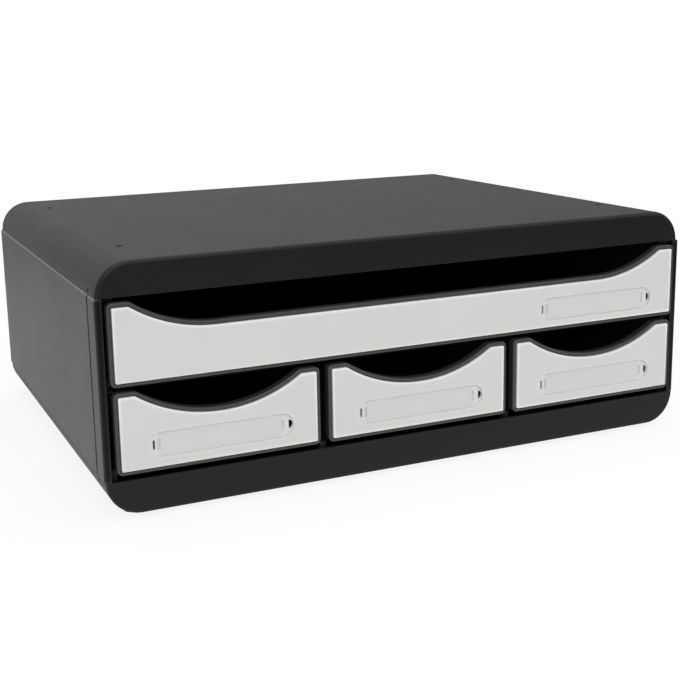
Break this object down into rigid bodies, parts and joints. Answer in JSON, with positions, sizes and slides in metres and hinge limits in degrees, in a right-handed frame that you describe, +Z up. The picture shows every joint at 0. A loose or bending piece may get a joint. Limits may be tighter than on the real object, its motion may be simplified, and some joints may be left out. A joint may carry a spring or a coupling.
{
  "type": "desktop drawer case",
  "caption": "Desktop storage case with a wide drawer above a row of small drawers, each with a scooped finger pull and a label holder.",
  "frame": {"origin": "on the table under the middle of the case, midway between the sides and between the drawer fronts and the back", "axes": "+X across the front to the right as seen from the front, -Y out of the drawer fronts, +Z up"},
  "size_m": [0.355, 0.2734, 0.133],
  "materials": {
    "shell": "satin black moulded polystyrene",
    "side": "satin black moulded polystyrene",
    "inner": "matt black moulded polystyrene",
    "tray": "satin dark grey moulded polystyrene",
    "front_plate": "satin light grey moulded polystyrene",
    "card": "uncoated white paper card",
    "cover": "clear moulded polystyrene",
    "rubber": "black rubber"
  },
  "bodies": {
    "case": {"base": "shell", "side_panel_left": "side", "side_panel_right": "side", "back_panel": "inner", "divider_left": "inner", "divider_right": "inner", "shelf": "inner", "lid": "shell", "foot_front_left": "rubber", "foot_front_right": "rubber", "foot_rear_left": "rubber", "foot_rear_right": "rubber"},
    "drawer_top": {"tray_top": "tray", "front_plate_top": "front_plate", "label_card_top": "card", "label_cover_top": "cover"},
    "drawer_left": {"tray_left": "tray", "front_plate_left": "front_plate", "label_card_left": "card", "label_cover_left": "cover"},
    "drawer_middle": {"tray_middle": "tray", "front_plate_middle": "front_plate", "label_card_middle": "card", "label_cover_middle": "cover"},
    "drawer_right": {"tray_right": "tray", "front_plate_right": "front_plate", "label_card_right": "card", "label_cover_right": "cover"}
  },
  "joints": [
    {"name": "top_drawer_slide", "type": "slide", "parent": "case", "child": "drawer_top", "axis": [0, -1, 0], "range_m": [0, 0.19]},
    {"name": "left_drawer_slide", "type": "slide", "parent": "case", "child": "drawer_left", "axis": [0, -1, 0], "range_m": [0, 0.19]},
    {"name": "middle_drawer_slide", "type": "slide", "parent": "case", "child": "drawer_middle", "axis": [0, -1, 0], "range_m": [0, 0.19]},
    {"name": "right_drawer_slide", "type": "slide", "parent": "case", "child": "drawer_right", "axis": [0, -1, 0], "range_m": [0, 0.19]}
  ]
}
